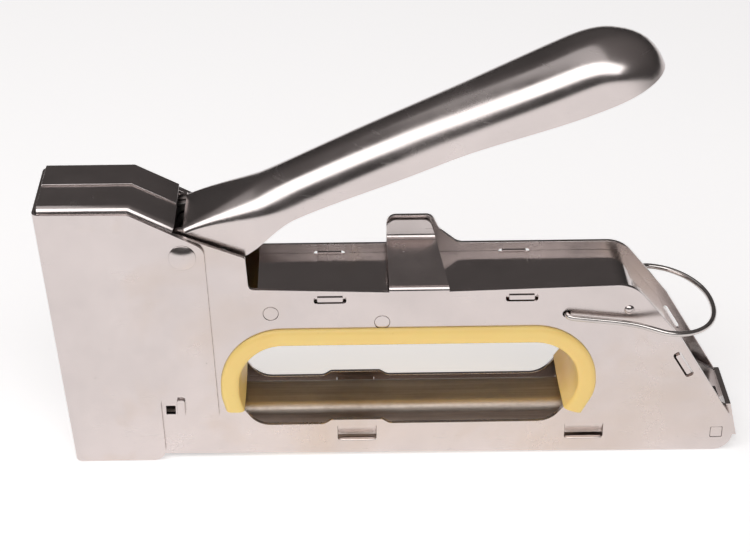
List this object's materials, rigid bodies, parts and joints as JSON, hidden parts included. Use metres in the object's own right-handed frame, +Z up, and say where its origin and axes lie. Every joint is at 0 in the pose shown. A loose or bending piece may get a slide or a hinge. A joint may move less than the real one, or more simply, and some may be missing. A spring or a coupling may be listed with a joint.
{
  "type": "staple gun",
  "caption": "Hand staple gun: plated steel housing with a lined finger opening, squeeze handle, spring driver, slide-out magazine and wire lock.",
  "frame": {"origin": "middle of the nose foot, the bottom face of the hardened staple guide", "axes": "+X from the nose to the rear, +Y to the right side plate, +Z up"},
  "size_m": [0.1848, 0.0374, 0.1167],
  "materials": {
    "plated_steel": "bright nickel plate with faint mottling",
    "hardened_steel": "ground, lightly oiled",
    "spring_steel": "plated spring wire",
    "yellow_plastic": "moulded, satin",
    "black_rubber": "matte",
    "staple_wire": "galvanised wire, glued strip"
  },
  "bodies": {
    "housing": {"left_side_plate": "plated_steel", "right_side_plate": "plated_steel", "front_cover": "plated_steel", "grip_strip": "plated_steel", "grip_liner": "yellow_plastic", "staple_guide": "hardened_steel", "nose_block": "hardened_steel", "lower_nose_pin": "hardened_steel", "upper_nose_pin": "hardened_steel", "bumper": "black_rubber", "spring_seat": "hardened_steel", "main_spring": "spring_steel", "magazine_channel": "plated_steel", "handle_pin": "plated_steel", "front_spacer_pin": "plated_steel", "rear_spacer_pin": "plated_steel", "left_rear_tenon": "plated_steel", "right_rear_tenon": "plated_steel", "latch_keeper": "hardened_steel"},
    "squeeze_handle": {"handle": "plated_steel", "lift_lever": "hardened_steel", "lever_pin": "hardened_steel"},
    "driver": {"hammer": "hardened_steel", "driver_blade": "hardened_steel"},
    "lock_wire": {"bail_ring": "spring_steel"},
    "magazine": {"staple_rail": "hardened_steel", "staples": "staple_wire", "pusher_rod": "spring_steel", "pusher_spring": "spring_steel", "rail_end": "hardened_steel", "latch_pin": "plated_steel"},
    "staple_pusher": {"pusher": "hardened_steel"},
    "latch": {"rear_latch": "plated_steel"}
  },
  "joints": [
    {"name": "handle_hinge", "type": "hinge", "parent": "housing", "child": "squeeze_handle", "pos_m": [0.0294, 0, 0.0619], "axis": [0, 1, 0], "range_deg": [0, 21], "stiffness_Nm_per_rad": 0.3, "springref_deg": -14.32},
    {"name": "driver_lift", "type": "slide", "parent": "housing", "child": "driver", "axis": [-0.0774, 0, 0.997], "range_m": [0, 0.0096], "deforming": ["main_spring"]},
    {"name": "lock_wire_swing", "type": "hinge", "parent": "housing", "child": "lock_wire", "pos_m": [0.1283, 0, 0.0433], "axis": [0, -1, 0], "range_deg": [-12, 75]},
    {"name": "magazine_slide", "type": "slide", "parent": "housing", "child": "magazine", "axis": [1, 0, 0], "range_m": [0, 0.11]},
    {"name": "pusher_slide", "type": "slide", "parent": "magazine", "child": "staple_pusher", "axis": [1, 0, 0], "range_m": [0, 0.06], "stiffness_N_per_m": 2, "springref_m": -0.01, "deforming": ["pusher_spring"]},
    {"name": "latch_swing", "type": "hinge", "parent": "magazine", "child": "latch", "pos_m": [0.17, 0, 0.0056], "axis": [0, 1, 0], "range_deg": [0, 20], "stiffness_Nm_per_rad": 0.0012, "springref_deg": -10.31}
  ],
  "couplings": [
    {"joint": "driver_lift", "follows": "handle_hinge", "m_per_rad": 0.02592}
  ]
}
